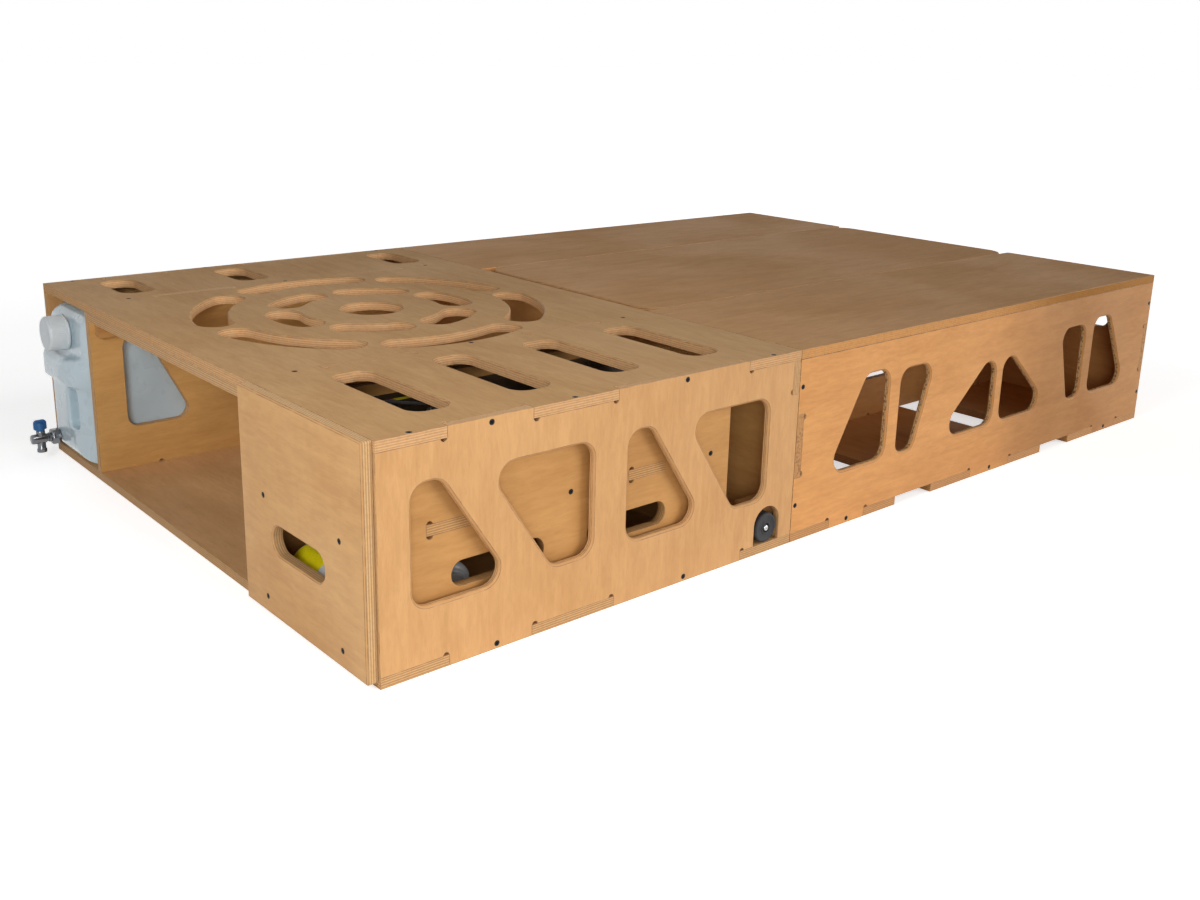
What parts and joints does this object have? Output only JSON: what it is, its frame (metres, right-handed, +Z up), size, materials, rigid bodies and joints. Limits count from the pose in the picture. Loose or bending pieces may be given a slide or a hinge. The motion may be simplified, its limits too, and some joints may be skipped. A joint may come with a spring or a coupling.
{
  "type": "camping box",
  "caption": "Plywood car camping box: kitchen box with drawer, bay and water canister, with storage benches and a loose middle board behind it that make a bed platform.",
  "frame": {"origin": "centre of the kitchen box's floor, on its underside", "axes": "+X from the drawer end to the foot end, +Y to the left side, +Z up"},
  "size_m": [1.949, 1.1518, 0.315],
  "materials": {
    "birch_ply": "lacquered birch plywood",
    "deck_birch": "lacquered birch plywood, deck side",
    "black_screw": "black oxide",
    "roller_rubber": "matt black",
    "zinc": "bright zinc",
    "glide_plastic": "waxy polyethylene",
    "stove_enamel": "black enamel",
    "stove_wire": "dark wire",
    "burner_alloy": "cast",
    "knob_plastic": "black",
    "cartridge_paint": "yellow with a white end",
    "canister_plastic": "milky polyethylene",
    "cap_plastic": "white polyethylene",
    "tap_chrome": "bright",
    "lever_plastic": "blue"
  },
  "bodies": {
    "base": {"floor_panel": "birch_ply", "top_panel": "deck_birch", "right_side_panel": "birch_ply", "left_side_panel": "birch_ply", "back_panel": "birch_ply", "drawer_divider": "birch_ply", "canister_divider": "birch_ply", "front_stiffener": "birch_ply", "stiffener_cleats": "birch_ply", "base_screws": "black_screw", "roller_washers": "zinc", "roller_axles": "zinc", "right_roller_block": "birch_ply", "left_roller_block": "birch_ply", "bench_screws": "black_screw", "joining_bolts": "zinc", "joining_nuts": "zinc", "right_bench_outer_side": "birch_ply", "right_bench_inner_side": "birch_ply", "right_bench_near_end": "birch_ply", "right_bench_far_end": "birch_ply", "right_bench_near_floor_board": "birch_ply", "right_bench_middle_floor_board": "birch_ply", "right_bench_far_floor_board": "birch_ply", "right_bench_ledger": "birch_ply", "left_bench_outer_side": "birch_ply", "left_bench_inner_side": "birch_ply", "left_bench_near_end": "birch_ply", "left_bench_far_end": "birch_ply", "left_bench_near_floor_board": "birch_ply", "left_bench_middle_floor_board": "birch_ply", "left_bench_far_floor_board": "birch_ply", "left_bench_ledger": "birch_ply"},
    "right_roller": {"right_roller": "roller_rubber"},
    "left_roller": {"left_roller": "roller_rubber"},
    "drawer": {"drawer_front": "birch_ply", "drawer_inner_front": "birch_ply", "drawer_right_wall": "birch_ply", "drawer_left_wall": "birch_ply", "drawer_back": "birch_ply", "drawer_floor": "birch_ply", "drawer_shelf": "birch_ply", "drawer_screws": "black_screw", "drawer_glides": "glide_plastic", "stove_body": "stove_enamel", "stove_grids": "stove_wire", "stove_burners": "burner_alloy", "gas_cartridge": "cartridge_paint", "spare_cartridge": "cartridge_paint"},
    "near_knob": {"near_stove_knob": "knob_plastic"},
    "far_knob": {"far_stove_knob": "knob_plastic"},
    "canister": {"canister_body": "canister_plastic", "tap_body": "tap_chrome"},
    "cap": {"canister_cap": "cap_plastic"},
    "lever": {"tap_lever": "lever_plastic"},
    "right_lid": {"right_bench_lid": "deck_birch", "right_bench_lid_battens": "birch_ply"},
    "left_lid": {"left_bench_lid": "deck_birch", "left_bench_lid_battens": "birch_ply"},
    "middle_board": {"middle_board": "deck_birch"}
  },
  "joints": [
    {"name": "drawer_slide", "type": "slide", "parent": "base", "child": "drawer", "axis": [-1, 0, 0], "range_m": [0, 0.55]},
    {"name": "near_knob_turn", "type": "hinge", "parent": "drawer", "child": "near_knob", "pos_m": [-0.1505, -0.511, 0.272], "axis": [0, 0, 1], "range_deg": [0, 180]},
    {"name": "far_knob_turn", "type": "hinge", "parent": "drawer", "child": "far_knob", "pos_m": [0.0745, -0.511, 0.272], "axis": [0, 0, 1], "range_deg": [0, 180]},
    {"name": "canister_slide", "type": "slide", "parent": "base", "child": "canister", "axis": [-1, 0, 0], "range_m": [0, 0.42]},
    {"name": "cap_turn", "type": "hinge", "parent": "canister", "child": "cap", "pos_m": [-0.412, 0.4615, 0.247], "axis": [-1, 0, 0], "continuous": true},
    {"name": "tap_turn", "type": "hinge", "parent": "canister", "child": "lever", "pos_m": [-0.418, 0.5205, 0.062], "axis": [0, 0, 1], "range_deg": [0, 90]},
    {"name": "right_roller_spin", "type": "hinge", "parent": "base", "child": "right_roller", "pos_m": [0.3155, -0.5645, 0.0394], "axis": [0, 1, 0], "continuous": true},
    {"name": "left_roller_spin", "type": "hinge", "parent": "base", "child": "left_roller", "pos_m": [0.3155, 0.5645, 0.0394], "axis": [0, 1, 0], "continuous": true},
    {"name": "right_lid_lift", "type": "slide", "parent": "base", "child": "right_lid", "axis": [0, 0, 1], "range_m": [0, 0.35]},
    {"name": "left_lid_lift", "type": "slide", "parent": "base", "child": "left_lid", "axis": [0, 0, 1], "range_m": [0, 0.35]},
    {"name": "middle_board_lift", "type": "slide", "parent": "base", "child": "middle_board", "axis": [0, 0, 1], "range_m": [0, 0.35]}
  ]
}
